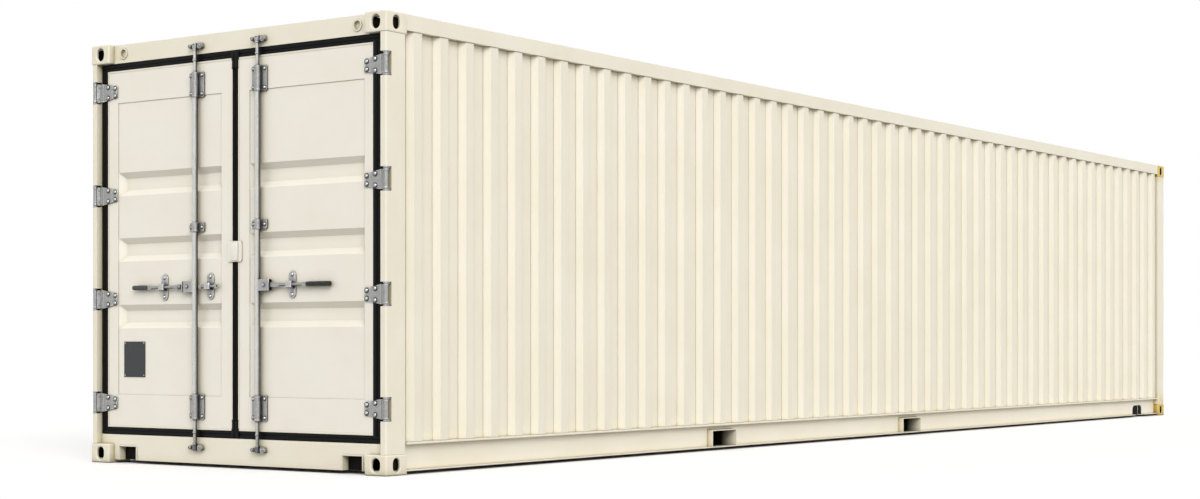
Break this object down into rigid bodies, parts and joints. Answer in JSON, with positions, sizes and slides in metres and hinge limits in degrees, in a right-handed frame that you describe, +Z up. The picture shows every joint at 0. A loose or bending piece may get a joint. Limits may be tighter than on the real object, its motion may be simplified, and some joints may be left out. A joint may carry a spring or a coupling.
{
  "type": "shipping container",
  "caption": "Forty-foot steel freight container with corrugated sides, hollow hold, plank floor, corner castings and two hinged door leaves closed by lock rods.",
  "frame": {"origin": "ground level at the middle of the footprint", "axes": "+X to the right as the doors are faced, +Y along the length away from the doors, +Z up"},
  "size_m": [2.438, 12.192, 2.591],
  "materials": {
    "cream_paint": "semi-gloss paint",
    "yellow_paint": "semi-gloss paint",
    "galvanised_steel": "zinc",
    "seal_rubber": "matt",
    "grey_plate": "matt",
    "plywood": "oiled"
  },
  "bodies": {
    "frame": {"door_end_castings": "cream_paint", "far_end_castings": "yellow_paint", "door_header": "cream_paint", "door_sill": "cream_paint", "far_end_top_rail": "cream_paint", "far_end_bottom_rail": "cream_paint", "far_end_wall": "cream_paint", "roof_panel": "cream_paint", "floor_panels": "plywood", "cross_members": "cream_paint", "fork_pockets": "cream_paint", "rod_keepers": "galvanised_steel", "left_door_post": "cream_paint", "left_far_end_post": "cream_paint", "left_top_side_rail": "cream_paint", "left_bottom_side_rail": "cream_paint", "left_side_wall": "cream_paint", "left_hinge_lugs": "galvanised_steel", "right_door_post": "cream_paint", "right_far_end_post": "cream_paint", "right_top_side_rail": "cream_paint", "right_bottom_side_rail": "cream_paint", "right_side_wall": "cream_paint", "right_hinge_lugs": "galvanised_steel"},
    "left_door": {"left_door_frame": "cream_paint", "left_door_panel": "cream_paint", "left_door_gasket": "seal_rubber", "left_hinge_blades": "galvanised_steel", "left_rod_brackets": "galvanised_steel", "left_handle_catches": "galvanised_steel", "left_blank_plate": "grey_plate"},
    "left_rod": {"left_lock_rod": "galvanised_steel"},
    "left_handle": {"left_door_handle": "galvanised_steel", "left_handle_grip": "seal_rubber"},
    "right_door": {"right_door_frame": "cream_paint", "right_door_panel": "cream_paint", "right_door_gasket": "seal_rubber", "right_hinge_blades": "galvanised_steel", "right_rod_brackets": "galvanised_steel", "right_handle_catches": "galvanised_steel", "right_meeting_plate": "cream_paint"},
    "right_rod": {"right_lock_rod": "galvanised_steel"},
    "right_handle": {"right_door_handle": "galvanised_steel", "right_handle_grip": "seal_rubber"}
  },
  "joints": [
    {"name": "left_door_swing", "type": "hinge", "parent": "frame", "child": "left_door", "pos_m": [-1.2015, -6.0785, 1.2], "axis": [0, 0, -1], "range_deg": [0, 262]},
    {"name": "right_door_swing", "type": "hinge", "parent": "frame", "child": "right_door", "pos_m": [1.2015, -6.0785, 1.2], "axis": [0, 0, 1], "range_deg": [0, 262]},
    {"name": "left_rod_turn", "type": "hinge", "parent": "left_door", "child": "left_rod", "pos_m": [-0.318, -6.074, 1.08], "axis": [0, 0, -1], "range_deg": [-100, 0]},
    {"name": "right_rod_turn", "type": "hinge", "parent": "right_door", "child": "right_rod", "pos_m": [0.203, -6.074, 1.08], "axis": [0, 0, 1], "range_deg": [-100, 0]},
    {"name": "left_handle_lift", "type": "hinge", "parent": "left_rod", "child": "left_handle", "pos_m": [-0.378, -6.074, 1.08], "axis": [0, 1, 0], "range_deg": [0, 25]},
    {"name": "right_handle_lift", "type": "hinge", "parent": "right_rod", "child": "right_handle", "pos_m": [0.263, -6.074, 1.08], "axis": [0, -1, 0], "range_deg": [0, 25]}
  ]
}
